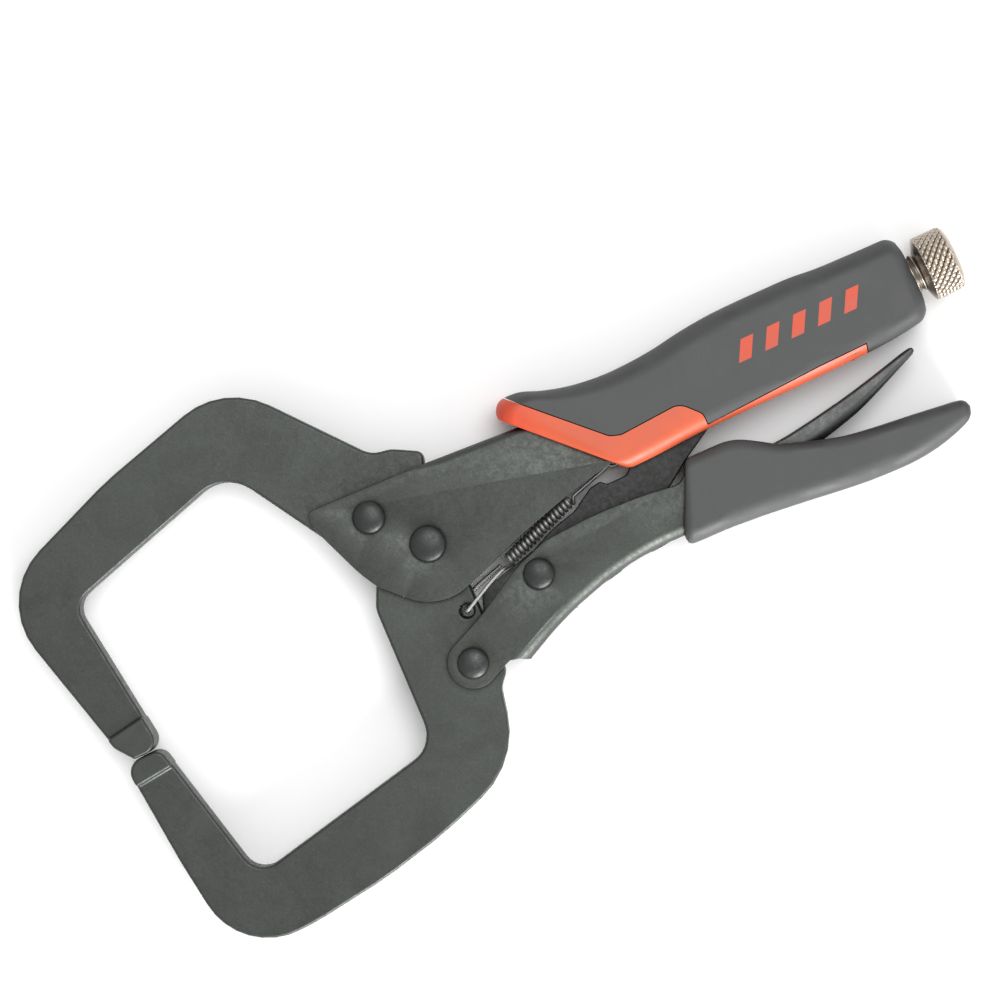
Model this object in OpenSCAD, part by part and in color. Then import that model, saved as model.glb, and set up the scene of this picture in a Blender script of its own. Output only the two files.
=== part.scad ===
// Locking C-clamp pliers, lying flat on one side.
// Every outline below is drawn in the plane of the tool, with the main pivot
// at [0, 0], +X towards the adjusting screw and +Y towards the back of the
// fixed jaw. lay_flat() then moves the tool so that its origin is the middle
// of its footprint, on the surface that it lies on.

/* [Stack] */
// Thickness of both forged jaws
jaw_t = 8.2; // [6:0.2:8.4]
// Thickness of the raised pads at the jaw tips
pad_t = 11.6; // [9:0.2:12.4]
// Sheet thickness of the two handle channels
sheet_t = 2.6; // [2:0.1:2.6]
// Width over the grips
grip_w = 19.2; // [18.8:0.2:22]
// Thickness of the toggle link
link_t = 7; // [5:0.5:7.6]
// Width of the stamped release lever
release_w = 7.8; // [6:0.2:8]

/* [Linkage] */
// Lever pivot, in the movable jaw
lever_pivot = [-2.6, -35.4]; // [-40:0.1:0]
// Link pivot, in the lever
link_pivot = [24.5, -20.5]; // [-30:0.1:30]
// Pivot of the release lever
release_pivot = [88, -18]; // [-20:0.5:90]
// Height of the adjusting screw's axis above the main pivot
screw_y = 10.9; // [10.4:0.1:11.2]
// X of the middle of the link's round nose
nose_x = 84.9; // [83:0.1:85.2]
// Clear space between the link's nose and the screw's end
nose_gap = 3.6; // [3.4:0.1:5]

/* [Rivets and screw] */
// Radius of the pivot shanks
pivot_r = 3.2; // [2.5:0.1:3.5]
// Radial running clearance of the bores that turn
run_gap = 0.06; // [0.02:0.01:0.1]
// Outer radius of the screw's thread
thread_r = 5.5; // [5:0.1:5.6]
// Pitch of the screw's thread
thread_pitch = 1.75; // [1:0.05:2]
// Depth of the thread
thread_depth = 0.8; // [0.4:0.1:1]
// Radius of the knurled knob
knob_r = 9.3; // [8:0.1:9.4]

/* [Spring] */
// Outer radius of the spring's coil
coil_r = 2.1; // [1.6:0.1:2.1]
// Radius of the spring's wire
wire_r = 0.45; // [0.3:0.05:0.5]

/* [Hidden] */
$fn = 64;

half_w = grip_w / 2;
wall_gap = 0.15;                     // from a jaw's face to the wall beside it
wall_in = jaw_t / 2 + wall_gap;      // inner face of a channel's wall
wall_out = wall_in + sheet_t;        // outer face of a channel's wall
rear_in = 5.75;                      // the handle channel widens for the screw
rear_out = rear_in + sheet_t - 0.25; // the sheet is drawn thinner where it widens
front_rivet = [-11.8, 13.6];
front_head_r = 4.5;                  // rivet heads
main_head_r = 5;
end_head_r = 4.3;
anchor = [57.4, 1.0];                // the spring's rear anchor
anchor_r = 1.5;
spring_hole = [1.8, -21.6];          // in the movable jaw, for the spring's front end
spring_hole_r = 1.85;
release_pin_r = 2;
pad_gap = 0.3;                       // between the two closed pads
bite_y = -20.1;                      // height of the bite, where the pads meet
hub_r = 12.3;                        // hub of the movable jaw
hub_gap = 0.4;                       // round the hub, in the fixed jaw
channel_hub_r = 16.2;                // the handle channel's walls round the main pivot
lug_r = 7;                           // the movable jaw round the lever pivot
lever_end_r = 7.2;                   // the lever's walls round the lever pivot
grip_end_x = 153.7;
barrel_x = [128, 150];               // threaded rear end of the handle channel
nose_r = 4.5;                        // half the height of the link's round nose
tip_x = nose_x + nose_r + nose_gap;  // front end of the screw
neck_x = 155.8;                      // where the screw enters the knob
spigot_r = 4;                        // the screw's end inside the knob
spigot_len = 6;
liner_t = 0.9;                       // grip core between the channel and cover
screw_clear = 0.7;                   // round the screw, where it leaves the grip
through = 40;                        // thicker than anything it cuts
badge_depth = 0.4;                   // bars let into the cover
steel = [0.34, 0.35, 0.33];
orange = [0.93, 0.42, 0.28];
rubber = [0.33, 0.33, 0.32];
nickel = [0.62, 0.58, 0.53];

/* ---- outlines with rounded corners ---- */

// Points of the arc of radius c.z that rounds corner c between a and b
function corner_arc(a, c, b) =
    let (
        p = [c.x, c.y],
        u = ([a.x, a.y] - p) / norm([a.x, a.y] - p),
        v = ([b.x, b.y] - p) / norm([b.x, b.y] - p),
        half = acos(max(-1, min(1, u * v))) / 2
    )
    c.z == 0 || half > 89.5 ? [p] :
    let (
        mid = p + (u + v) / norm(u + v) * c.z / sin(half),
        start = p + u * c.z / tan(half) - mid,
        from = atan2(start.y, start.x),
        turn = (180 - 2 * half) * (u.x * v.y - u.y * v.x > 0 ? -1 : 1),
        steps = max(1, ceil(abs(turn) / 12))
    )
    [for (i = [0:steps]) mid + c.z * [cos(from + turn * i / steps), sin(from + turn * i / steps)]];

// A closed outline from corners [x, y, radius]
function rounded(corners) =
    let (n = len(corners))
    [for (i = [0:n - 1]) each corner_arc(corners[(i + n - 1) % n], corners[i], corners[(i + 1) % n])];

fixed_jaw_outline = rounded([
    [8.3, 20.9, 0.8], [9.3, 24.1, 2.4], [1.5, 28.4, 6], [-4.3, 29.4, 8], [-33.4, 65.1, 22],
    [-75, 53.9, 60], [-117.4, 37.6, 21], [-104.1, -14.8, 3], [-100.2, bite_y + pad_gap / 2, 1],
    [-92.0, bite_y + pad_gap / 2, 4], [-97.5, 26.5, 6], [-43.2, 42.2, 11.5], [-25.6, 12.9, 8],
    [-21.6, 3.0, 1.5], [-12, -3, 0], [4, 6, 0], [8.5, 13, 2]
]);

movable_jaw_outline = rounded([
    [-103.5, bite_y - pad_gap / 2, 4.5], [-100.9, -51.2, 60], [-96.8, -83.9, 20],
    [-72, -82.6, 60], [-50, -79.7, 80], [-30, -75.2, 80], [-3.3, -66.2, 25], [1.4, -45.2, 4], [4.6, -41.5, 4],
    [5.5, -24.6, 1], [5.5, -7, 0], [-11.5, -3.6, 0], [-18.2, -4.4, 1.2], [-21.2, -10.5, 8],
    [-22.6, -51.9, 9], [-82.6, -64.3, 6.5], [-92.5, bite_y - pad_gap / 2, 3.4]
]);

handle_wall_outline = rounded([
    [8.6, 20.7, 0], [-27.2, 22.1, 1.6], [-27.0, 17.0, 6], [-25.4, 12.4, 20], [-20.8, 0.4, 20],
    [-17.8, -5.0, 0.8], [-12.4, -10.5, 0], [0, 0, 0], [5.5, -15.2, 0], [25, -8.6, 80],
    [44, -3.3, 60], [58, -0.9, 3], [61, -2.4, 3], [134, -2.4, 4], [134, 18.9, 3], [37, 18.8, 60]
]);

lever_wall_outline = rounded([
    [12.2, -41.3, 0.4], [22, -36.6, 40], [30, -33.5, 40], [44, -29.5, 60], [57, -27.9, 60],
    [68, -28.2, 30], [95, -31.0, 80], [125, -33.8, 80], [150.5, -31.2, 2], [150.5, -27.4, 1.4],
    [121, -23.9, 40], [111, -21.7, 20], [90, -11.9, 8], [86, -10.3, 8], [76, -10.3, 3],
    [70.5, -14.6, 4], [60, -13.1, 40], [46, -12.2, 60], [30, -12.9, 14], [19.6, -16.4, 16],
    [5, -24.4, 30], [-6.2, -29.2, 0], [lever_pivot.x, lever_pivot.y, 0], [-0.7, -42.3, 0], [3.4, -40.5, 3],
    [7, -39.1, 1.5], [10, -39.9, 2]
]);

// Space between the lever's walls, above its web
lever_hollow = [
    [-30, -60], [12.2, -60], [12.2, -38.3], [22, -33.9], [30, -30.8], [44, -26.8], [57, -25.2],
    [68, -25.5], [95, -28.3], [125, -31.1], [148, -28.8], [148, 0], [-30, 0]
];

link_outline = rounded([
    [19.2, -17.0, 4], [33, -10.9, 8], [40.6, -9.0, 3], [47.4, -5.0, 1], [50.6, -4.5, 0.8],
    [52.2, -6.0, 2], [58.2, -6.0, 2], [60.5, -3.5, 2], [68, 0.5, 14], [77.5, 11, 8],
    [82, screw_y + nose_r, 2], [89.4, screw_y + nose_r, 4.4], [89.4, screw_y - nose_r, 4.4],
    [85.2, -3.3, 3], [75, -9.2, 20], [66, -15.2, 14], [50, -21.0, 30], [30, -26.2, 20],
    [18.6, -26.4, 5]
]);

release_outline = rounded([
    [77.4, -9.9, 1.2], [81.5, -10.6, 3], [98.5, -15.8, 20], [120, -12.5, 60], [144.9, -6.9, 0.9],
    [145.2, -8.7, 0.8], [134, -13.5, 40], [125, -17.5, 40], [112, -20.9, 20], [97, -24.0, 20],
    [86, -23.6, 8], [78.5, -16.5, 6]
]);

grip_outline = rounded([
    [31.3, 23.9, 0.8], [35.1, 28.3, 3.2], [42.6, 27.4, 8], [53, 22.8, 30], [76, 21.9, 60],
    [92, 25.2, 80], [122, 24.8, 60], [137, 23.4, 60], [151.4, 24.1, 4], [153.8, 17, 10],
    [grip_end_x, 0.9, 4.5], [150, -2.7, 6], [132, -3.9, 30], [84.3, -3.9, 0.8],
    [59.8, -4.9, 0.8]
]);

// The orange band's edges inside the grip; it runs out past the grip elsewhere
band_outline = rounded([
    [22, 20, 0], [30, 32.8, 0], [40.1, 23.7, 8], [58.3, 5.7, 4], [61.5, 4.6, 3],
    [79.6, 5.6, 5], [84.4, 0.4, 3], [84.4, -8, 0], [58, -8, 0]
]);

lower_grip_outline = rounded([
    [74.8, -8.9, 0.6], [88.5, -9.0, 4], [98.5, -15.4, 10], [113, -20.9, 14], [122, -22.5, 40],
    [152.8, -25.9, 2.9], [153.4, -32.0, 3.8], [130, -36.9, 40], [98, -33.4, 60], [82, -31.7, 60],
    [66.2, -31.1, 1.6], [65.0, -27.6, 1.0]
]);

// The whole tool's extents, from the outlines that reach furthest
x_low = min([for (p = fixed_jaw_outline) p.x]);
x_high = 166.9;
y_high = max([for (p = fixed_jaw_outline) p.y]);
y_low = min([for (p = movable_jaw_outline) p.y]);

module lay_flat() {
    translate([-(x_low + x_high) / 2, -(y_low + y_high) / 2, half_w]) children();
}

/* ---- shared shapes ---- */

module plate(outline, thickness) {
    linear_extrude(height = thickness, center = true) polygon(outline);
}

module bore(at, r) {
    translate([at.x, at.y, -50]) cylinder(r = r, h = 100);
}

// A round rod from a to b
module rod(a, b, r) {
    d = b - a;
    translate(a)
        rotate([0, acos(d.z / norm(d)), atan2(d.y, d.x)])
            cylinder(r = r, h = norm(d), $fn = 16);
}

// A rivet along Z with a low domed head at each end
module rivet(at, head_r, top) {
    rim_h = 1.1;
    dome_h = top - wall_out - rim_h;
    dome_steps = 8;
    dome = [
        for (k = [0:dome_steps])
            let (a = 90 * k / dome_steps)
            [head_r * cos(a), wall_out + rim_h + dome_h * sin(a)]
    ];
    translate([at.x, at.y, 0]) {
        cylinder(r = pivot_r, h = 2 * wall_out, center = true);
        for (side = [0, 1]) mirror([0, 0, side])
            rotate_extrude() polygon(concat([[0, wall_out], [head_r, wall_out]], dome));
    }
}

// Space inside the handle channel: narrow at the front, wide round the screw
module handle_cavity() {
    rotate([90, 0, 0])
        linear_extrude(height = 120, center = true)
            polygon([
                [-40, -wall_in], [60, -wall_in], [66, -rear_in], [barrel_x[0], -rear_in],
                [barrel_x[0], rear_in], [66, rear_in], [60, wall_in], [-40, wall_in]
            ]);
}

// Outer envelope of the handle channel, as the grip's core sits on it
module handle_envelope(extra) {
    rotate([90, 0, 0])
        linear_extrude(height = 120, center = true)
            polygon([
                [-40, -wall_out - extra], [60, -wall_out - extra], [66, -rear_out - extra],
                [134, -rear_out - extra], [134, rear_out + extra],
                [66, rear_out + extra], [60, wall_out + extra], [-40, wall_out + extra]
            ]);
}

// The channel's round rear end, as a solid rod of radius r
module barrel(r, longer = 0) {
    translate([barrel_x[0], screw_y, 0]) rotate([0, 90, 0])
        cylinder(r = r, h = barrel_x[1] - barrel_x[0] + longer);
}

/* ---- jaws ---- */

module fixed_jaw() {
    color(steel) lay_flat() difference() {
        union() {
            plate(fixed_jaw_outline, jaw_t);
            intersection() {
                plate(fixed_jaw_outline, pad_t);
                translate([-98.5, -22, 0]) rotate(9) cube([20, 22, 20], center = true);
            }
        }
        bore([0, 0], hub_r + hub_gap);
        bore(front_rivet, pivot_r);
    }
}

module movable_jaw() {
    color(steel) lay_flat() difference() {
        union() {
            plate(movable_jaw_outline, jaw_t);
            cylinder(r = hub_r, h = jaw_t, center = true);
            translate([lever_pivot.x, lever_pivot.y, 0])
                cylinder(r = lug_r, h = jaw_t, center = true);
            intersection() {
                plate(movable_jaw_outline, pad_t);
                translate([-97.5, -16.2, 0]) rotate(6) cube([20, 21, 20], center = true);
            }
        }
        bore([0, 0], pivot_r + run_gap);
        bore(lever_pivot, pivot_r + run_gap);
        bore(spring_hole, spring_hole_r);
    }
}

/* ---- fixed handle ---- */

module handle_channel() {
    color(steel) lay_flat() difference() {
        union() {
            difference() {
                intersection() {
                    union() {
                        plate(handle_wall_outline, 2 * rear_out);
                        cylinder(r = channel_hub_r, h = 2 * wall_out, center = true);
                    }
                    handle_envelope(0);
                }
                intersection() {
                    handle_cavity();
                    plate([
                        [-40, -30], [130, -30], [130, 16.4], [37, 16.4], [9, 18.1], [9, 40],
                        [-40, 40]
                    ], through);
                }
            }
            barrel(rear_out - 0.05);
        }
        translate([barrel_x[0] - 5, screw_y, 0]) rotate([0, 90, 0])
            cylinder(r = thread_r + run_gap, h = 40);
        bore([0, 0], pivot_r);
        bore(front_rivet, pivot_r);
        bore(anchor, anchor_r);
    }
}

module front_jaw_rivet() {
    color(steel) lay_flat() rivet(front_rivet, front_head_r, half_w);
}

module main_pivot_rivet() {
    color(steel) lay_flat() rivet([0, 0], main_head_r, half_w);
}

module spring_anchor_pin() {
    color(steel) lay_flat() translate([anchor.x, anchor.y, 0])
        cylinder(r = anchor_r, h = 2 * wall_out, center = true);
}

// Where the hard core lies: thin over the channel, full depth at the band and
// the underside
module core_region() {
    plate(band_outline, through);
    plate([[80, -6], [132.6, -6], [133.4, -1.2], [119, -1.4], [84, -3.0], [80, 0]], through);
    intersection() {
        handle_envelope(liner_t);
        plate([[52, 19.8], [134, 19.8], [134, -3.3], [80, -3.3], [70, 3], [60, 10]], through);
    }
    barrel(rear_out + liner_t, 0.6);
}

// Room for the channel, the screw and, underneath, the swinging link
module grip_room() {
    intersection() {
        handle_envelope(0);
        plate([[20, -2.4], [134, -2.4], [134, 18.9], [37, 18.8], [20, 20.5]], through);
    }
    plate([[20, -20], [128.5, -20], [128.5, 0], [20, 0]], 2 * rear_in);
    barrel(rear_out);
    translate([grip_end_x - 10, screw_y, 0]) rotate([0, 90, 0])
        cylinder(r = thread_r + screw_clear, h = 20);
}

module grip_core() {
    color(orange) lay_flat() difference() {
        intersection() {
            plate(grip_outline, grip_w);
            core_region();
        }
        grip_room();
    }
}

module grip_cover() {
    color(rubber) lay_flat() difference() {
        plate(grip_outline, grip_w);
        core_region();
        grip_room();
        badge_bars();
    }
}

// Five plain slanted bars let into each side of the grip
module badge_bars() {
    for (side = [-1, 1], i = [0:4])
        translate([103.6 + 8 * i, 11.8, side * (half_w - badge_depth / 2)])
            linear_extrude(height = badge_depth, center = true)
                polygon([[-4.2, -2.9], [-0.4, -2.9], [2.8, 2.9], [-1.0, 2.9]]);
}

module grip_badge() {
    color(orange) lay_flat() badge_bars();
}

module adjusting_screw() {
    ridges = floor((neck_x - tip_x - 2) / thread_pitch);
    root_r = thread_r - thread_depth;
    profile = [
        [0, 0], [root_r - 0.6, 0], [root_r, 0.6],
        for (i = [0:ridges - 1]) each [
            [root_r, 1.2 + i * thread_pitch],
            [thread_r, 1.2 + (i + 0.4) * thread_pitch],
            [thread_r, 1.2 + (i + 0.6) * thread_pitch]
        ],
        [root_r, 1.2 + ridges * thread_pitch], [root_r, neck_x - tip_x],
        [spigot_r, neck_x - tip_x], [spigot_r, neck_x - tip_x + spigot_len],
        [0, neck_x - tip_x + spigot_len]
    ];
    color(nickel) lay_flat() translate([tip_x, screw_y, 0]) rotate([0, 90, 0])
        rotate_extrude() polygon(profile);
}

module screw_knob() {
    bore_r = spigot_r + run_gap;
    bore_end = spigot_len + 0.2;
    color(nickel) lay_flat() translate([neck_x, screw_y, 0]) rotate([0, 90, 0])
        rotate_extrude() polygon([
            [bore_r, 0.05], [5.2, 0.05], [knob_r - 0.7, 1.2], [knob_r, 1.9], [knob_r, 8.4],
            [knob_r - 0.5, 9.2], [knob_r - 2.2, 10.3], [knob_r - 5.4, x_high - neck_x],
            [0, x_high - neck_x], [0, bore_end], [bore_r, bore_end]
        ]);
}

/* ---- lever ---- */

module lever_channel() {
    color(steel) lay_flat() difference() {
        union() {
            plate(lever_wall_outline, 2 * wall_out);
            translate([lever_pivot.x, lever_pivot.y, 0])
                cylinder(r = lever_end_r, h = 2 * wall_out, center = true);
            // the wall on the lower side stands taller in front of the link
            translate([0, 0, -wall_in - sheet_t / 2])
                linear_extrude(height = sheet_t, center = true)
                    polygon(rounded([[5, -25, 0], [7.5, -18.4, 3], [20, -15.4, 6], [26, -14, 0]]));
        }
        plate(lever_hollow, 2 * wall_in);
        bore(lever_pivot, pivot_r);
        bore(link_pivot, pivot_r);
        bore(release_pivot, release_pin_r);
    }
}

module lever_pivot_rivet() {
    color(steel) lay_flat() rivet(lever_pivot, end_head_r, half_w);
}

module link_rivet() {
    color(steel) lay_flat() rivet(link_pivot, end_head_r, half_w);
}

module release_pin() {
    color(steel) lay_flat() translate([release_pivot.x, release_pivot.y, 0])
        cylinder(r = release_pin_r, h = 2 * wall_out, center = true);
}

module lower_grip() {
    color(rubber) lay_flat() difference() {
        plate(lower_grip_outline, grip_w);
        plate(lever_wall_outline, 2 * wall_out);
        plate(lever_hollow, 2 * wall_in);
    }
}

module toggle_link() {
    color(steel) lay_flat() difference() {
        plate(link_outline, link_t);
        bore(link_pivot, pivot_r + run_gap);
    }
}

module release_lever() {
    web_t = 1.5;
    color(steel) lay_flat() difference() {
        plate(release_outline, release_w);
        plate([[94, -40], [94, -16.2], [98.5, -17.4], [120, -14.1], [143, -8.9], [150, -8.9], [150, -40]],
            release_w - 2 * web_t);
        bore(release_pivot, release_pin_r + run_gap);
    }
}

/* ---- spring ---- */

module tension_spring() {
    front = [17.5, -14.0, 0];
    rear = [40.5, -5.6, 0];
    reach = norm(rear - front);
    turns = round(reach / (2 * wire_r));
    scallops = [
        for (i = [0:turns - 1]) each [
            [coil_r - wire_r, i * reach / turns],
            [coil_r, (i + 0.5) * reach / turns]
        ]
    ];
    leg_z = jaw_t / 2 + wire_r + 0.1;
    hole = spring_hole;
    color(nickel) lay_flat() {
        translate(front) rotate([0, 90, atan2(rear.y - front.y, rear.x - front.x)])
            rotate_extrude($fn = 32)
                polygon(concat([[0, 0]], scallops, [[coil_r - wire_r, reach], [0, reach]]));
        wire([[17.8, -13.9, 0], [16.5, -14.45, leg_z + 0.2]]);
        wire([[16.9, -14.26, leg_z], [hole.x - 0.25, hole.y - 0.12, leg_z]]);
        wire([[17.8, -13.8, 0], [17.0, -13.7, -leg_z - 0.2]]);
        wire([[17.3, -13.62, -leg_z], [5.7, -16.65, -leg_z]]);
        wire([[6.0, -16.4, -leg_z], [hole.x - 0.18, hole.y - 0.22, -leg_z]]);
        wire([[hole.x, hole.y, leg_z + 0.2], [hole.x, hole.y, -leg_z - 0.2]]);
        wire([[40.2, -5.8, 0], [54.8, -1.8, 0]]);
        translate([56.5, 0.6, 0]) rotate_extrude($fn = 48)
            translate([2.9, 0]) circle(r = wire_r, $fn = 16);
    }
}

// A bent wire through the given points
module wire(points) {
    for (i = [1:len(points) - 1]) rod(points[i - 1], points[i], wire_r);
}

fixed_jaw();
movable_jaw();
handle_channel();
lever_channel();
toggle_link();
release_lever();
adjusting_screw();
screw_knob();
front_jaw_rivet();
main_pivot_rivet();
lever_pivot_rivet();
link_rivet();
release_pin();
tension_spring();
spring_anchor_pin();
grip_core();
grip_cover();
grip_badge();
lower_grip();
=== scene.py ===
import math

import bmesh
import bpy
import numpy as np
from mathutils import Matrix, Vector


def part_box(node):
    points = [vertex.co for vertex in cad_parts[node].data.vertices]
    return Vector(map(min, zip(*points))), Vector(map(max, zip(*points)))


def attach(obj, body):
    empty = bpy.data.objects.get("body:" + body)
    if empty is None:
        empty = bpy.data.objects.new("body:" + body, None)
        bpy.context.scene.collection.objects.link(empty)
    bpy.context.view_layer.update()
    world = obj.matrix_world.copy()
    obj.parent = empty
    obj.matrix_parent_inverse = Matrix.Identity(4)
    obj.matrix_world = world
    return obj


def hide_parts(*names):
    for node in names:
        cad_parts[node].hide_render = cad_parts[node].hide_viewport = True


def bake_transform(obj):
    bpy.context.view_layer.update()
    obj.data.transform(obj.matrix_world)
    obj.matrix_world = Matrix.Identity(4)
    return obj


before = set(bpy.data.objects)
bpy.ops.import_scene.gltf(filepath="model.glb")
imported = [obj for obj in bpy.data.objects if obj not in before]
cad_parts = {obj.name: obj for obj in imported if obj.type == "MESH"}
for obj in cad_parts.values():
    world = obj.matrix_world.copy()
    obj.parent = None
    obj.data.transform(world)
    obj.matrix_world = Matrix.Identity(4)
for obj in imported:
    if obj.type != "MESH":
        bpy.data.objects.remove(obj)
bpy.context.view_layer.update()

MM = 0.001

# ---- the tool's own plane -------------------------------------------------
# Places are given in millimetres from the main pivot, +X towards the knob,
# +Y towards the back of the fixed jaw and +Z up from the middle of the tool.

pivot_low, pivot_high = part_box("main_pivot_rivet")
PIVOT = (pivot_low + pivot_high) / 2
GRIP_HALF = (pivot_high.z - pivot_low.z) / 2 / MM


SCREW_Y = 10.9           # height of the screw's axis
PITCH = 1.75             # of its thread
NECK_X = 155.75          # where the screw enters the knob
WALL_OUT = 6.85          # outer face of both channels' walls


def place(x, y, z=0.0):
    """A point of the tool's plane in the row frame, in metres."""
    return Vector((PIVOT.x + x * MM, PIVOT.y + y * MM, PIVOT.z + z * MM))


# ---- small mesh tools -----------------------------------------------------


def new_object(name, bm, turn_out=True):
    """A smooth-shaded object from a bmesh in metres."""
    if turn_out:
        bmesh.ops.recalc_face_normals(bm, faces=bm.faces)
        if bm.calc_volume(signed=True) < 0:
            bmesh.ops.reverse_faces(bm, faces=bm.faces)
    mesh = bpy.data.meshes.new(name)
    bm.to_mesh(mesh)
    bm.free()
    for polygon in mesh.polygons:
        polygon.use_smooth = True
    obj = bpy.data.objects.new(name, mesh)
    bpy.context.scene.collection.objects.link(obj)
    return obj


def copy_of_node(name, node):
    """A welded copy of a CAD node's mesh, free to be cut."""
    mesh = bpy.data.meshes.new(name)
    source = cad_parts[node].data
    mesh.from_pydata([v.co for v in source.vertices], [],
                     [tuple(polygon.vertices) for polygon in source.polygons])
    bm = bmesh.new()
    bm.from_mesh(mesh)
    bmesh.ops.remove_doubles(bm, verts=bm.verts, dist=1e-6)
    return new_object(name, bm, turn_out=False)


def apply_modifiers(obj):
    """Bakes an object's modifiers into its mesh."""
    bpy.context.view_layer.update()
    depsgraph = bpy.context.evaluated_depsgraph_get()
    mesh = bpy.data.meshes.new_from_object(obj.evaluated_get(depsgraph))
    obj.modifiers.clear()
    obj.data = mesh


def cut(obj, other, operation="DIFFERENCE"):
    """An exact boolean of obj with other, which is then removed."""
    modifier = obj.modifiers.new("cut", "BOOLEAN")
    modifier.operation = operation
    modifier.solver = "EXACT"
    modifier.object = other
    apply_modifiers(obj)
    bpy.data.objects.remove(other)


def soften(obj, width_mm):
    """Rounds the sharp edges and keeps the flats flat."""
    weld = obj.modifiers.new("weld", "WELD")
    weld.merge_threshold = 1e-6
    flat = obj.modifiers.new("flat", "DECIMATE")
    flat.decimate_type = "DISSOLVE"
    flat.angle_limit = math.radians(1)
    bevel = obj.modifiers.new("bevel", "BEVEL")
    bevel.width = width_mm * MM
    bevel.segments = 3
    bevel.limit_method = "ANGLE"
    bevel.angle_limit = math.radians(28)
    bevel.use_clamp_overlap = False
    bevel.harden_normals = True
    smooth_by_angle(obj)


def smooth_by_angle(obj, degrees=35.0):
    """Smooth shading with edges sharper than the angle left crisp and flats flat."""
    mesh = obj.data
    for polygon in mesh.polygons:
        polygon.use_smooth = True
    mesh.set_sharp_from_angle(angle=math.radians(degrees))
    weighted = obj.modifiers.new("weighted", "WEIGHTED_NORMAL")
    weighted.keep_sharp = True


def ring_mesh(name, rings):
    """A closed mesh through rings of equal length, in order."""
    bm = bmesh.new()
    rows = [[bm.verts.new(p) for p in ring] for ring in rings]
    count = len(rows[0])
    for low, high in zip(rows, rows[1:]):
        for i in range(count):
            j = (i + 1) % count
            bm.faces.new((low[i], low[j], high[j], high[i]))
    bm.faces.new(rows[0])
    bm.faces.new(rows[-1])
    return new_object(name, bm)


def prism(name, outline, half_height):
    """An upright block over an outline of the tool's plane."""
    rings = [[place(x, y, z) for x, y in outline] for z in (-half_height, half_height)]
    return ring_mesh(name, rings)


def fillet(corners, step=8.0):
    """Points of a closed outline from corners (x, y, radius)."""
    points = []
    for i, (x, y, r) in enumerate(corners):
        here = Vector((x, y))
        a = (Vector(corners[i - 1][:2]) - here).normalized()
        b = (Vector(corners[(i + 1) % len(corners)][:2]) - here).normalized()
        half = a.angle(b) / 2
        if r == 0 or half > math.radians(89.5):
            points.append((x, y))
            continue
        centre = here + (a + b).normalized() * r / math.sin(half)
        start = here + a * r / math.tan(half) - centre
        turn = (math.pi - 2 * half) * (-1 if a.cross(b) > 0 else 1)
        steps = max(2, math.ceil(abs(math.degrees(turn)) / step))
        for k in range(steps + 1):
            spoke = Matrix.Rotation(turn * k / steps, 2) @ start
            points.append(tuple(centre + spoke))
    return points


def spline(points, count):
    """count points evenly spaced on a smooth curve through the given ones."""
    given = np.array(points, float)
    ends = np.vstack([2 * given[0] - given[1], given, 2 * given[-1] - given[-2]])
    fine = []
    for k in range(len(given) - 1):
        a, b, c, d = ends[k:k + 4]
        for t in np.linspace(0, 1, 24, endpoint=False):
            fine.append(0.5 * (2 * b + (c - a) * t + (2 * a - 5 * b + 4 * c - d) * t ** 2
                               + (3 * b - a - 3 * c + d) * t ** 3))
    fine = np.array(fine + [given[-1]])
    run = np.concatenate([[0], np.cumsum(np.linalg.norm(np.diff(fine, axis=0), axis=1))])
    at = np.linspace(0, run[-1], count)
    return np.stack([np.interp(at, run, fine[:, k]) for k in range(fine.shape[1])], -1)


# ---- materials --------------------------------------------------------------


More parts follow.
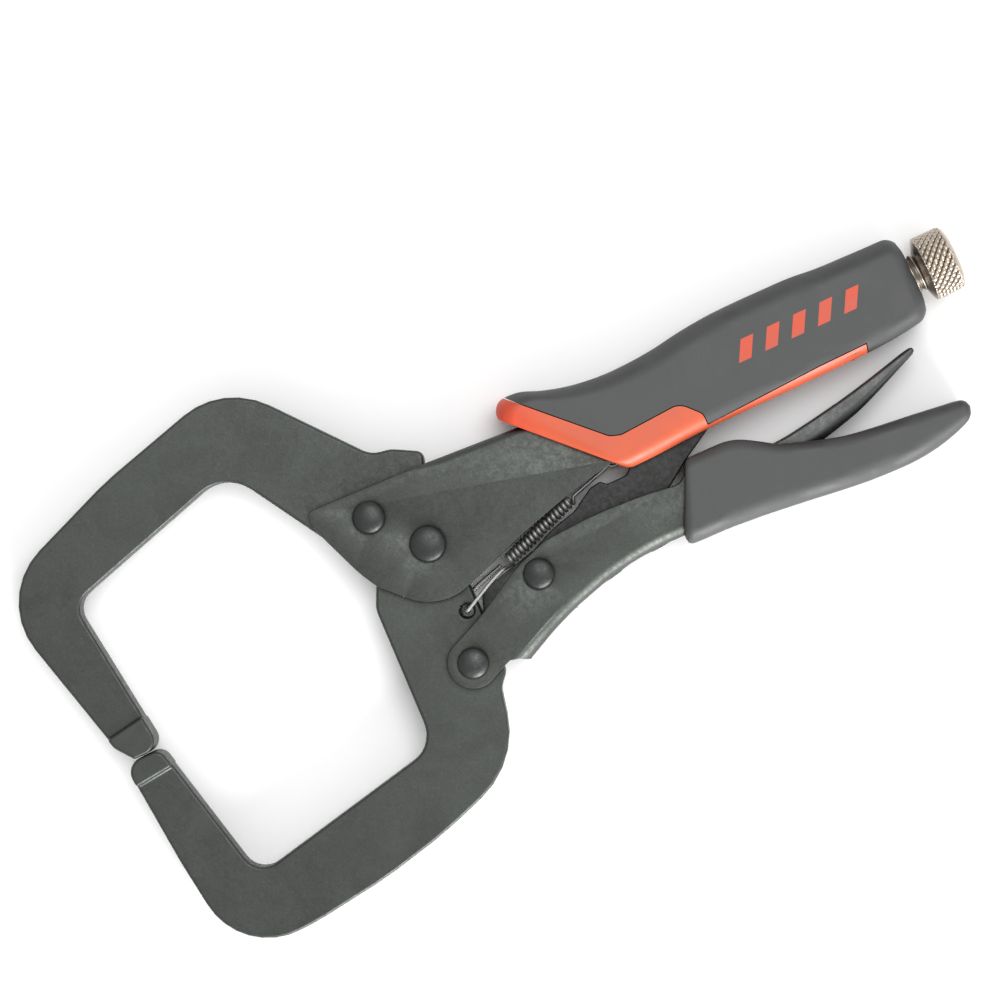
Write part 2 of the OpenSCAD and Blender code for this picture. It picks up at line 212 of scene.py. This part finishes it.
class Nodes:
    """A short way to write a node tree."""

    def __init__(self, name):
        self.material = bpy.data.materials.new(name)
        self.material.use_nodes = True
        self.tree = self.material.node_tree
        self.shader = self.tree.nodes["Principled BSDF"]
        coordinates = self.tree.nodes.new("ShaderNodeTexCoord")
        self.position = coordinates.outputs["Object"]

    def link(self, source, target):
        self.tree.links.new(source, target)

    def noise(self, scale, detail, rough, distort=0.0):
        node = self.tree.nodes.new("ShaderNodeTexNoise")
        node.inputs["Scale"].default_value = scale
        node.inputs["Detail"].default_value = detail
        node.inputs["Roughness"].default_value = rough
        node.inputs["Distortion"].default_value = distort
        self.link(self.position, node.inputs["Vector"])
        return node.outputs["Fac"]

    def cells(self, scale, feature):
        node = self.tree.nodes.new("ShaderNodeTexVoronoi")
        node.feature = feature
        node.inputs["Scale"].default_value = scale
        self.link(self.position, node.inputs["Vector"])
        return node.outputs["Distance"]

    def ramp(self, value, stops, smooth=False):
        node = self.tree.nodes.new("ShaderNodeValToRGB")
        if smooth:
            node.color_ramp.interpolation = "EASE"
        elements = node.color_ramp.elements
        while len(elements) < len(stops):
            elements.new(0.5)
        for element, (at, colour) in zip(elements, stops):
            element.position = at
            element.color = (*colour, 1)
        self.link(value, node.inputs["Fac"])
        return node.outputs["Color"]

    def span(self, value, low, high, to_low=0.0, to_high=1.0):
        node = self.tree.nodes.new("ShaderNodeMapRange")
        node.interpolation_type = "SMOOTHSTEP"
        for key, number in zip(("From Min", "From Max", "To Min", "To Max"),
                               (low, high, to_low, to_high)):
            node.inputs[key].default_value = number
        self.link(value, node.inputs["Value"])
        return node.outputs["Result"]

    def mix(self, fac, a, b, mode="MIX"):
        node = self.tree.nodes.new("ShaderNodeMix")
        node.data_type = "RGBA"
        node.blend_type = mode
        for key, value in (("Factor", fac), ("A", a), ("B", b)):
            socket = node.inputs[key] if key == "Factor" else next(
                s for s in node.inputs if s.name == key and s.type == "RGBA")
            if isinstance(value, bpy.types.NodeSocket):
                self.link(value, socket)
            elif isinstance(value, tuple):
                socket.default_value = (*value, 1)
            else:
                socket.default_value = value
        return next(s for s in node.outputs if s.type == "RGBA")

    def math(self, operation, a, b=0.0):
        node = self.tree.nodes.new("ShaderNodeMath")
        node.operation = operation
        for socket, value in zip(node.inputs, (a, b)):
            if isinstance(value, bpy.types.NodeSocket):
                self.link(value, socket)
            else:
                socket.default_value = value
        return node.outputs[0]

    def axis(self, name):
        node = self.tree.nodes.new("ShaderNodeSeparateXYZ")
        self.link(self.position, node.inputs[0])
        return node.outputs[name]

    def painted_gap_shade(self, reach_mm, low, high):
        """Painted shade: 1 deep in gaps between pieces, 0 in the open."""
        node = self.tree.nodes.new("ShaderNodeAmbientOcclusion")
        node.samples = 8
        node.inputs["Distance"].default_value = reach_mm * MM
        return self.span(node.outputs["AO"], low, high, 1.0, 0.0)

    def bump(self, height, distance_mm, strength, below=None):
        node = self.tree.nodes.new("ShaderNodeBump")
        node.inputs["Distance"].default_value = distance_mm * MM
        node.inputs["Strength"].default_value = strength
        self.link(height, node.inputs["Height"])
        if below is not None:
            self.link(below, node.inputs["Normal"])
        return node.outputs["Normal"]

    def finish(self, colour, rough, normal, metallic, **sockets):
        self.link(colour, self.shader.inputs["Base Color"])
        self.link(rough, self.shader.inputs["Roughness"])
        self.link(normal, self.shader.inputs["Normal"])
        self.shader.inputs["Metallic"].default_value = metallic
        for key, value in sockets.items():
            socket = key.replace("_", " ").title().replace("Ior", "IOR")
            self.shader.inputs[socket].default_value = value
        return self.material


# near-black colour of the painted shade in gaps between pieces
PAINTED_SHADE_BLACK = (0.008, 0.008, 0.008)


def dark_steel(name, base, painted_glint_colour, speckle=0.5, rough=0.46, scale=1.0):
    """Textured dark plating: fine pits, faint blotches, lighter specks painted as glints, and painted shade,
    near black, where pieces meet."""
    n = Nodes(name)
    grain = n.noise(2600 * scale, 3.0, 0.6)
    pits = n.noise(700 * scale, 4.0, 0.62, 0.4)
    blotch = n.noise(55, 5.0, 0.6, 0.8)
    low = tuple(c * 0.90 for c in base)
    high = tuple(c * 1.10 for c in base)
    colour = n.ramp(blotch, [(0.32, low), (0.68, high)], True)
    speckles = n.ramp(grain, [(0.35, (0.35,) * 3), (0.65, (0.72,) * 3)])
    colour = n.mix(speckle * 0.55, colour, speckles, "OVERLAY")
    # painted glints: random lighter specks that stand in for sparkling highlights on the metal
    painted_glint_mask = n.span(n.noise(900, 3.0, 0.6), 0.60, 0.74, 0.0, 0.22)
    colour = n.mix(painted_glint_mask, colour, painted_glint_colour)
    # painted shade: the colour goes towards near black in gaps between pieces, where shade falls
    colour = n.mix(n.painted_gap_shade(5.0, 0.25, 0.72), colour, PAINTED_SHADE_BLACK)
    roughness = n.span(pits, 0.3, 0.7, rough - 0.07, rough + 0.10)
    normal = n.bump(grain, 0.035, 0.55, n.bump(pits, 0.07, 0.5))
    return n.finish(colour, roughness, normal, 0.85)


RUSTIER = (1.9, 1.0, 0.8)


def plated(name, base, hollow_and_rust_tone, rough, hollow_and_rust_amount=0.7):
    """Dull nickel plate, darker in its hollows, with rust spots."""
    n = Nodes(name)
    cloud = n.noise(260, 5.0, 0.65, 0.5)
    scratch = n.noise(3200, 2.0, 0.5)
    tint = n.ramp(cloud, [(0.3, tuple(c * 0.82 for c in base)), (0.7, base)], True)
    hollow = n.tree.nodes.new("ShaderNodeNewGeometry").outputs["Pointiness"]
    # darker in the hollows: the mask follows the mesh's concave places
    hollow_darkening = n.math("MULTIPLY", n.span(hollow, 0.50, 0.44), hollow_and_rust_amount)
    colour = n.mix(hollow_darkening, tint, hollow_and_rust_tone)
    rust = n.span(n.noise(700, 3.0, 0.6), 0.62, 0.72, 0.0, 0.55 * hollow_and_rust_amount)
    rusty = tuple(c * k for c, k in zip(hollow_and_rust_tone, RUSTIER))
    colour = n.mix(rust, colour, rusty)
    roughness = n.math("ADD", n.span(cloud, 0.3, 0.7, rough - 0.06, rough + 0.12),
                       n.math("MULTIPLY", hollow_darkening, 0.3))
    normal = n.bump(scratch, 0.02, 0.5)
    return n.finish(colour, roughness, normal, 1.0)


def soft_grip(name, base, rough=0.62):
    """Matt moulded rubber: fine leathery grain, and mottling of lighter and darker patches that is partly
    painted sheen.
    """
    n = Nodes(name)
    grain = n.noise(3400, 4.0, 0.7)
    skin = n.cells(1500, "SMOOTH_F1")
    cloud = n.noise(70, 4.0, 0.6, 0.6)
    # the mottling is partly random tone and partly painted sheen: its lighter patches are strong enough to
    # stand in for soft sheen spots
    low = tuple(c * 0.78 for c in base)
    high = tuple(c * 1.18 for c in base)
    colour = n.ramp(cloud, [(0.3, low), (0.72, high)], True)
    leather = n.ramp(grain, [(0.35, (0.38,) * 3), (0.65, (0.66,) * 3)])
    colour = n.mix(0.35, colour, leather, "OVERLAY")
    roughness = n.span(cloud, 0.35, 0.65, rough - 0.14, rough + 0.1)
    normal = n.bump(grain, 0.03, 0.6, n.bump(skin, 0.05, 0.35))
    return n.finish(colour, roughness, normal, 0.0, specular_ior_level=0.45)


def hard_orange(name, base, deep, front_x, back_x):
    """Satin moulded plastic, deeper red towards the nose of the grip."""
    n = Nodes(name)
    grain = n.noise(2800, 4.0, 0.65)
    cloud = n.noise(90, 4.0, 0.55, 0.5)
    along = n.span(n.axis("X"), front_x, back_x)
    colour = n.mix(along, deep, base)
    mottle = n.ramp(cloud, [(0.3, (0.42,) * 3), (0.7, (0.57,) * 3)], True)
    colour = n.mix(0.5, colour, mottle, "OVERLAY")
    roughness = n.span(cloud, 0.3, 0.7, 0.42, 0.54)
    normal = n.bump(grain, 0.02, 0.45)
    return n.finish(colour, roughness, normal, 0.0, specular_ior_level=0.5)


JAW = dark_steel("forged_steel", (0.060, 0.065, 0.060), (0.13, 0.135, 0.125))
SHEET = dark_steel("sheet_steel", (0.060, 0.065, 0.060), (0.14, 0.145, 0.135), 0.6)
LINK = dark_steel("link_steel", (0.034, 0.035, 0.034), (0.11, 0.11, 0.105), 0.5, 0.5)
# the release lever's steel is painted lighter, with brighter glints: painted highlight for the light its face
# catches
LEVER_PAINTED_LIGHTER = dark_steel("lever_steel_painted_highlight", (0.085, 0.088, 0.086), (0.24, 0.24, 0.24), 0.8, 0.42)
RIVET = dark_steel("rivet_steel", (0.046, 0.048, 0.047), (0.13, 0.13, 0.135), 0.35, 0.42, 1.3)
KNOB = plated("knob_nickel", (0.50, 0.435, 0.365), (0.075, 0.046, 0.028), 0.34, 1.0)
SCREW = plated("screw_nickel", (0.42, 0.385, 0.34), (0.09, 0.06, 0.04), 0.32)
WIRE = plated("spring_wire", (0.42, 0.42, 0.41), (0.05, 0.05, 0.05), 0.5, 0.4)
RUBBER = soft_grip("dark_grip", (0.047, 0.049, 0.048))
ORANGE = hard_orange("orange_grip", (0.48, 0.075, 0.026), (0.50, 0.048, 0.016),
                     place(32, 0).x, place(48, 0).x)
BADGE = hard_orange("badge_orange", (0.46, 0.052, 0.018), (0.46, 0.052, 0.018),
                    place(100, 0).x, place(140, 0).x)


def dress(obj, material, body, node):
    """Gives a new piece its material and body, and hides the CAD node it stands for."""
    obj.data.materials.clear()
    obj.data.materials.append(material)
    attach(obj, body)
    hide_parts(node)


def dress_node(node, material):
    """Gives a CAD node its material."""
    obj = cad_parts[node]
    obj.data.materials.clear()
    obj.data.materials.append(material)
    return obj


# ---- rounded grips ----------------------------------------------------------


CORNER_STEPS = 7


def rounded_section(low, high, half, r_low, r_high):
    """A rounded rectangle standing on the line from low to high."""
    a, b = Vector(low), Vector(high)
    length = (b - a).length
    along = (b - a) / length
    r_low = min(r_low, half * 0.98, length * 0.48)
    r_high = min(r_high, half * 0.98, length * 0.48)
    ring = []
    for start, s0, side, r in ((180, r_low, -1, r_low), (270, length - r_high, -1, r_high),
                               (0, length - r_high, 1, r_high), (90, r_low, 1, r_low)):
        for k in range(CORNER_STEPS + 1):
            angle = math.radians(start + 90 * k / CORNER_STEPS)
            spot = a + along * (s0 + r * math.cos(angle))
            ring.append(place(spot.x, spot.y, side * (half - r) + r * math.sin(angle)))
    return ring


def rounded_loft(name, table, count, front_r, rear_r):
    """A grip through rows (low x, low y, high x, high y, half width, low radius,
    high radius), with its front and rear edges rounded."""
    rows = spline(table, count)
    ends = []
    for end, r in ((rows[0], front_r), (rows[-1], rear_r)):
        a, b = Vector(end[0:2]), Vector(end[2:4])
        across = (b - a).normalized()
        ends.append((a, Vector((across.y, -across.x)), r))
    rings = []
    for row in rows:
        low, high, half = Vector(row[0:2]), Vector(row[2:4]), row[4]
        r_low, r_high = row[5], row[6]
        inset = 0.0
        for at, normal, r in ends:
            depth = min(abs((low - at).dot(normal)), abs((high - at).dot(normal)))
            if depth < r:
                inset = max(inset, r * (1 - math.sqrt(1 - (1 - depth / r) ** 2)))
        along = (high - low).normalized()
        low, high = low + along * inset, high - along * inset
        rings.append(rounded_section(low, high, half - inset, max(1.0, r_low - inset * 0.6),
                                     max(1.0, r_high - inset * 0.6)))
    return ring_mesh(name, rings)


UPPER_GRIP = [
    (59.8, -4.85, 31.35, 24.0), (60.4, -4.85, 32.6, 26.0), (61.2, -4.85, 34.2, 27.4),
    (62.5, -4.85, 36.5, 27.95), (65, -4.8, 41, 27.5), (68.5, -4.7, 47, 25.2),
    (72.5, -4.5, 54, 23.3), (77, -4.3, 62, 22.2), (82, -4.1, 70.5, 22.05), (88, -4.0, 79.5, 22.7),
    (94, -4.0, 88.5, 24.0), (101, -4.0, 98, 24.8), (108, -4.0, 107, 24.9), (114, -3.95, 114, 24.8),
    (122, -3.9, 122, 24.6), (130, -3.7, 130, 23.8), (138, -3.4, 138, 23.5), (144, -2.9, 144, 23.3),
    (149, -2.2, 149, 23.2), (151.5, -1.7, 151.5, 23.0), (153.5, -1.2, 153.5, 22.8),
]

LOWER_GRIP = [
    (65.4, -28.0, 74.8, -8.9), (65.7, -30.4, 75.3, -8.9), (67.0, -31.1, 76.2, -8.9),
    (69.5, -31.3, 78.5, -8.9), (74, -31.4, 83.0, -9.0), (79, -31.6, 87.0, -9.2),
    (84, -32.0, 90.9, -10.4), (89.5, -32.5, 95.2, -12.9), (95.5, -33.2, 99.8, -15.8),
    (101.5, -33.9, 105, -17.8), (109, -34.9, 111.5, -20.0), (117, -35.8, 118.5, -21.9),
    (125, -36.3, 126, -23.1), (132, -36.4, 132.6, -23.9), (139, -35.7, 139.3, -24.7),
    (145, -34.3, 145.2, -25.5), (149.0, -32.9, 149.2, -26.0), (151.3, -31.8, 151.5, -26.3),
    (152.3, -31.2, 152.4, -26.5),
]

BAND = fillet([
    (18, 20, 0), (26, 38, 0), (40.1, 23.7, 8), (58.3, 5.7, 4), (61.5, 4.6, 3),
    (79.6, 5.6, 5), (84.4, 0.4, 3), (84.4, -8, 0), (58, -8, 0),
])
STRIP = [(80, -6), (132.6, -6), (133.4, -1.2), (119, -1.4), (84, -3.0), (80, 0)]
SEAM = 0.30              # gap between the orange core and the cover
SLOT_HALF = 5.9
SCREW_BORE_R = 6.2


def upper_loft(name):
    table = [(*row, GRIP_HALF, 5.0, 6.0) for row in UPPER_GRIP]
    return rounded_loft(name, table, 150, 1.2, 4.0)


def grip_rooms(obj):
    """Clears the channel, the swinging link and the screw out of a grip piece."""
    cut(obj, copy_of_node("room", "handle_channel"))
    cut(obj, prism("slot", [(20, -20), (129, -20), (129, 16.5), (20, 19)], SLOT_HALF))
    rings = [[place(x, SCREW_Y + SCREW_BORE_R * math.cos(t), SCREW_BORE_R * math.sin(t))
              for t in np.linspace(0, 2 * math.pi, 64, endpoint=False)] for x in (149, 160)]
    cut(obj, ring_mesh("bore", rings))


def swell(outline, grow):
    """The outline moved outwards by grow."""
    points = [Vector(p) for p in outline]
    area = sum(a.cross(b) for a, b in zip(points, points[1:] + points[:1]))
    hand = 1 if area > 0 else -1
    moved = []
    for i, point in enumerate(points):
        before = (point - points[i - 1]).normalized()
        after = (points[(i + 1) % len(points)] - point).normalized()
        out = (before + after).normalized()
        out = Vector((out.y, -out.x)) * hand
        reach = grow / max(0.4, out.dot(Vector((before.y, -before.x)) * hand))
        moved.append(tuple(point + out * reach))
    return moved


def grip_region(name, grow=0.0):
    """The orange band and its strip along the underside, as one solid."""
    region = prism(name, swell(BAND, grow), 14)
    cut(region, prism("strip", swell(STRIP, grow), 14), "UNION")
    return region


cover = upper_loft("grip_cover_soft")
cut(cover, grip_region("region", SEAM))
grip_rooms(cover)
badge = copy_of_node("badge", "grip_badge")
cut(cover, badge)
core = upper_loft("grip_core_hard")
cut(core, grip_region("region"), "INTERSECT")
grip_rooms(core)
for piece in (cover, core):
    smooth_by_angle(piece, 32)
dress(cover, RUBBER, "handle", "grip_cover")
dress(core, ORANGE, "handle", "grip_core")
dress_node("grip_badge", BADGE)

table = [(*row, GRIP_HALF, 5.0, 3.2) for row in LOWER_GRIP]
lower = rounded_loft("lower_grip_soft", table, 130, 1.2, 2.3)
cut(lower, copy_of_node("room", "lever_channel"))
LEVER_HOLLOW = [(50, -25.2), (68, -25.5), (95, -28.3), (125, -31.1), (148, -28.8), (148, 0), (50, 0)]
WALL_IN = 4.25           # inner face of the lever's walls
cut(lower, prism("hollow", LEVER_HOLLOW, WALL_IN))
smooth_by_angle(lower, 32)
dress(lower, RUBBER, "lever", "lower_grip")

# ---- jaws, link and rivets ----------------------------------------------------

for node, material, width in (
    ("fixed_jaw", JAW, 0.9), ("movable_jaw", JAW, 0.9), ("toggle_link", LINK, 0.5),
    ("front_jaw_rivet", RIVET, 0.25),
    ("main_pivot_rivet", RIVET, 0.25), ("lever_pivot_rivet", RIVET, 0.25),
    ("link_rivet", RIVET, 0.25), ("release_pin", RIVET, 0.2), ("spring_anchor_pin", RIVET, 0.2),
):
    soften(dress_node(node, material), width)

# ---- release lever --------------------------------------------------------------

RELEASE_LEVER = [
    (78.4, -15.6, 77.7, -10.4), (79.6, -17.6, 79.6, -10.4), (82.5, -20.6, 82.5, -11.0),
    (86.5, -23.2, 86.5, -12.1), (91, -23.9, 91, -13.5), (97, -23.8, 97, -15.1),
    (103, -22.7, 102, -15.1), (110, -21.3, 108.5, -14.3), (117, -19.6, 115.5, -13.2),
    (124, -17.6, 122.5, -12.0), (131, -14.8, 129.5, -10.5), (137, -12.2, 136, -9.0),
    (142, -10.1, 141.4, -7.7), (145.1, -8.8, 144.9, -7.0),
]

RELEASE_HALF = 3.9
RELEASE_HOLLOW = [(94, -40), (94, -16.8), (98.5, -17.4), (120, -14.1), (141, -9.6), (150, -9.6), (150, -40)]
RELEASE_WEB = 1.5
RELEASE_PIVOT = (88, -18)
RELEASE_BORE_R = 2.06

table = [(*row, RELEASE_HALF, 3.6, 0.6) for row in RELEASE_LEVER]
release = rounded_loft("release_lever_pressed", table, 90, 0.4, 0.4)
cut(release, prism("hollow", RELEASE_HOLLOW, RELEASE_HALF - RELEASE_WEB))
pin_hole = [(RELEASE_PIVOT[0] + RELEASE_BORE_R * math.cos(t), RELEASE_PIVOT[1] + RELEASE_BORE_R * math.sin(t))
            for t in np.linspace(0, 2 * math.pi, 32, endpoint=False)]
cut(release, prism("pin_hole", pin_hole, 8))
smooth_by_angle(release, 40)
dress(release, LEVER_PAINTED_LIGHTER, "release", "release_lever")

# ---- pressed channels ---------------------------------------------------------


BEND_STEPS = 8
OVERCUT = 0.03           # keeps the cutter's faces off the channel's own
MARGIN = 1.5             # the cutter's reach beyond the channel


def bend_cutter(name, line, radius, half, side):
    """The stock outside a rounded edge that runs along line at height half; side
    says on which hand of the line the sheet lies."""
    line = [Vector(p) for p in line]
    rings = []
    for i, point in enumerate(line):
        ahead = (line[min(i + 1, len(line) - 1)] - line[max(i - 1, 0)]).normalized()
        inward = Vector((-ahead.y, ahead.x)) * side
        section = [(-MARGIN, half + MARGIN), (-MARGIN, half - radius)]
        for k in range(BEND_STEPS + 1):
            a = math.radians(180 - 90 * k / BEND_STEPS)
            section.append((radius - OVERCUT + radius * math.cos(a),
                            half - radius + OVERCUT + radius * math.sin(a)))
        section.append((radius, half + MARGIN))
        rings.append([place(*(point + inward * n), z) for n, z in section])
    return ring_mesh(name, rings)


def pressed_channel(name, node, line, radius, half, side):
    """A channel whose bent outer edges, along line, are rounded."""
    obj = copy_of_node(name, node)
    for flip in (1, -1):
        cutter = bend_cutter("cutter", line, radius, half, side)
        if flip < 0:
            for vertex in cutter.data.vertices:
                vertex.co.z = 2 * PIVOT.z - vertex.co.z
            cutter.data.flip_normals()
        cut(obj, cutter)
    bm = bmesh.new()
    bm.from_mesh(obj.data)
    bmesh.ops.remove_doubles(bm, verts=bm.verts, dist=2e-6)
    bmesh.ops.dissolve_limit(bm, angle_limit=math.radians(0.5), verts=bm.verts, edges=bm.edges)
    bm.to_mesh(obj.data)
    bm.free()
    edges = obj.modifiers.new("edges", "BEVEL")
    edges.width = 0.3 * MM
    edges.segments = 2
    edges.limit_method = "ANGLE"
    edges.angle_limit = math.radians(40)
    edges.use_clamp_overlap = False
    obj.modifiers.new("triangles", "TRIANGULATE")
    apply_modifiers(obj)
    for polygon in obj.data.polygons:
        polygon.use_smooth = abs(polygon.normal.z) < 0.9995
    obj.data.set_sharp_from_angle(angle=math.radians(40))
    return obj


UNDER_BEND = fillet([
    (5.9, -44.3, 0), (12.2, -41.3, 0), (22, -36.6, 40), (30, -33.5, 40), (44, -29.5, 60),
    (57, -27.9, 60), (68, -28.2, 30), (82, -29.6, 0),
], 3)
BACK_BEND = [
    (-2.0, 25.0), (9.6, 20.9), (13, 20.45), (18, 20.08), (27, 19.48), (37, 18.8), (45, 18.8),
    (54, 24.0),
]

dress(pressed_channel("lever_channel_pressed", "lever_channel", UNDER_BEND, 3.9, WALL_OUT, 1),
      SHEET, "lever", "lever_channel")
dress(pressed_channel("handle_channel_pressed", "handle_channel", BACK_BEND, 2.6, WALL_OUT, -1),
      SHEET, "handle", "handle_channel")

# ---- adjusting screw ----------------------------------------------------------


def turned(name, x_values, radius_at, around):
    """A solid round the screw's axis whose radius may vary with x and angle."""
    rings = [[place(x, SCREW_Y + radius_at(x, t) * math.cos(t), radius_at(x, t) * math.sin(t))
              for t in np.linspace(0, 2 * math.pi, around, endpoint=False)] for x in x_values]
    return ring_mesh(name, rings)


ROOT_R = 4.7             # of the thread
THREAD_DEPTH = 0.8
SPIGOT_R = 4.0           # the screw inside the knob
CHAMFER_X = 93.6         # where the tip's chamfer ends
RUN_IN_X = 93.2          # where the thread starts to rise
RUN_IN = 1.6             # how long it takes to rise


def thread_radius(x, t):
    """A helical V thread that runs out at the tip and under the knob."""
    if x > NECK_X:
        return SPIGOT_R
    phase = (x / PITCH - t / (2 * math.pi)) % 1.0
    ridge = min(1.0, max(0.0, 2.6 * (0.5 - abs(phase - 0.5)) - 0.1))
    fade = min(1.0, max(0.0, (x - RUN_IN_X) / RUN_IN))
    chamfer = min(0.0, x - CHAMFER_X)
    return ROOT_R + THREAD_DEPTH * ridge * fade + chamfer


screw_low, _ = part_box("adjusting_screw")
tip_x = (screw_low.x - PIVOT.x) / MM
screw_x = list(np.arange(tip_x, 155.7, PITCH / 10)) + [155.74, 155.76, 161.6]
screw = turned("adjusting_screw_thread", screw_x, thread_radius, 48)
smooth_by_angle(screw, 50)
dress(screw, SCREW, "screw", "adjusting_screw")


def knob_profile(x):
    """The knob's outer radius without its knurl."""
    return float(np.interp(x, [155.85, 157.15, 157.5, 165.1, 165.5, 166.1, 166.6, 166.9],
                           [5.2, 8.75, 9.3, 9.3, 9.1, 8.3, 6.9, 4.2]))


KNURL_START, KNURL_END = 157.4, 165.5
KNURL_COUNT = 25         # grooves round the knob
KNURL_SLANT = 2.05       # mm along the knob for each groove round it


def groove(at):
    """A V-shaped groove with a rounded crest, 0 on the crest and 1 in the root."""
    phase = abs((at % 1.0) - 0.5) * 2
    return phase ** 3


def knurl(x, t):
    """Coarse slanting grooves crossed by finer, shallower ones."""
    along = x - KNURL_START
    fade = min(1.0, max(0.0, along / 0.5)) * min(1.0, max(0.0, (KNURL_END - x) / 0.5))
    around = t / (2 * math.pi) * KNURL_COUNT
    coarse = groove(around + along / KNURL_SLANT)
    fine = groove(around - along / KNURL_SLANT)
    return fade * (0.55 * coarse + 0.26 * fine)


knob_x = [155.85, 156.3, 156.8, 157.15, 157.4] + list(np.arange(157.5, 165.6, 0.12))
knob_x += [165.75, 165.9, 166.1, 166.35, 166.6, 166.75, 166.9]
knob = turned("screw_knob_knurled", knob_x, lambda x, t: knob_profile(x) - knurl(x, t), 384)
smooth_by_angle(knob, 60)
dress(knob, KNOB, "knob", "screw_knob")

# ---- tension spring -------------------------------------------------------------


WIRE_R = 0.55
WIRE_SIDES = 14


def wire_mesh(name, path):
    """A round wire swept along a path of places, in millimetres."""
    points = [Vector(p) for p in path]
    rings = []
    side = None
    for i, point in enumerate(points):
        ahead = points[min(i + 1, len(points) - 1)] - points[max(i - 1, 0)]
        ahead.normalize()
        if side is None:
            side = ahead.orthogonal().normalized()
        side = (side - ahead * side.dot(ahead)).normalized()
        up = ahead.cross(side)
        rings.append([place(*(point + (side * math.cos(t) + up * math.sin(t)) * WIRE_R))
                      for t in np.linspace(0, 2 * math.pi, WIRE_SIDES, endpoint=False)])
    return ring_mesh(name, rings)


COIL_FRONT, COIL_REAR = Vector((18.4, -13.7, 0)), Vector((40.9, -5.5, 0))
COIL_R = 1.55            # to the middle of the wire
TURNS = 17
TURN_STEPS = 20
HOOK = (56.6, 0.5)       # middle of the rear hook
HOOK_R = 2.7

axis = (COIL_REAR - COIL_FRONT).normalized()
across = Vector((-axis.y, axis.x, 0))
coil = []
for k in range(TURNS * TURN_STEPS + 1):
    t = 2 * math.pi * k / TURN_STEPS
    reach = (COIL_REAR - COIL_FRONT).length * k / (TURNS * TURN_STEPS)
    coil.append(COIL_FRONT + axis * reach + across * (-COIL_R * math.cos(t))
                + Vector((0, 0, COIL_R * math.sin(t))))
hole = (1.8, -21.6)
front_leg = spline([
    (15.5, -14.1, -4.75), (5.9, -17.0, -4.8), (2.6, -20.2, -5.0), (hole[0], hole[1], -4.6),
    (hole[0], hole[1], 0), (hole[0], hole[1], 4.6), (2.7, -21.3, 5.05), (6.5, -19.4, 4.85),
    (11.5, -17.0, 4.8), (15.5, -15.5, 4.3), (17.4, -15.2, 2.4),
], 90)
rear_hook = [COIL_REAR + Vector((1.2, 0.4, 0)), Vector((48, -3.4, 0)), Vector((53.4, -1.8, 0))]
for degrees in range(220, 500, 14):
    t = math.radians(degrees)
    rear_hook.append(Vector((HOOK[0] + HOOK_R * math.cos(t), HOOK[1] + HOOK_R * math.sin(t), 0)))
rear_leg = spline([tuple(p) for p in rear_hook], 90)
path = [tuple(p) for p in front_leg] + [tuple(p) for p in coil] + [tuple(p) for p in rear_leg]
spring = wire_mesh("tension_spring_wire", path)
spring.data.materials.append(WIRE)
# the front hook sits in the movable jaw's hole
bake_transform(spring)
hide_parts("tension_spring")

# ---- floor, light and camera ----------------------------------------------------


PICTURE_RIGHT = Vector((0.9063, -0.4226, 0))
PICTURE_UP = Vector((0.4226, 0.9063, 0))
UP = Vector((0, 0, 1))
PICTURE_WIDTH = 0.280    # metres of the tool's plane across the picture

white = bpy.data.materials.new("floor_white")
white.use_nodes = True
paint = white.node_tree.nodes["Principled BSDF"]
paint.inputs["Base Color"].default_value = (0.93, 0.93, 0.93, 1)
paint.inputs["Roughness"].default_value = 0.9

bm = bmesh.new()
bmesh.ops.create_grid(bm, x_segments=1, y_segments=1, size=2.0)
floor = new_object("floor", bm)
floor.data.materials.append(white)


def aim(obj, target, up):
    """Turns an object's -Z to the target with its +Y as near to up as it can be."""
    back = (obj.location - target).normalized()
    right = up.cross(back).normalized()
    turn = Matrix((right, back.cross(right), back)).transposed()
    obj.rotation_euler = turn.to_euler()


def soft_light(name, at, target, watts):
    light = bpy.data.lights.new(name, "AREA")
    light.shape = "DISK"
    light.size = 0.8
    light.energy = watts
    obj = bpy.data.objects.new(name, light)
    bpy.context.scene.collection.objects.link(obj)
    obj.location = at
    aim(obj, target, PICTURE_UP)
    return obj


middle = place(23.1, 2.6)
above = middle + PICTURE_UP * 0.35 + PICTURE_RIGHT * 0.2 + UP * 1.1
below = middle - PICTURE_UP * 0.95 + PICTURE_RIGHT * 0.45 + UP * 0.30
main = soft_light("main_light", above, middle, 7.5)
fill = soft_light("fill_light", below, middle, 24)

world = bpy.data.worlds.new("studio")
bpy.context.scene.world = world
world.use_nodes = True
sky = world.node_tree.nodes["Background"]
sky.inputs["Color"].default_value = (1, 1, 1, 1)
sky.inputs["Strength"].default_value = 0.72
bpy.context.scene.view_settings.view_transform = "Standard"

camera_data = bpy.data.cameras.new("camera")
camera = bpy.data.objects.new("camera", camera_data)
bpy.context.scene.collection.objects.link(camera)
camera.location = place(60, -4) + UP
aim(camera, middle, PICTURE_UP)
camera_data.sensor_width = 36
camera_data.lens = camera_data.sensor_width * (camera.location - middle).length / PICTURE_WIDTH
bpy.context.scene.camera = camera
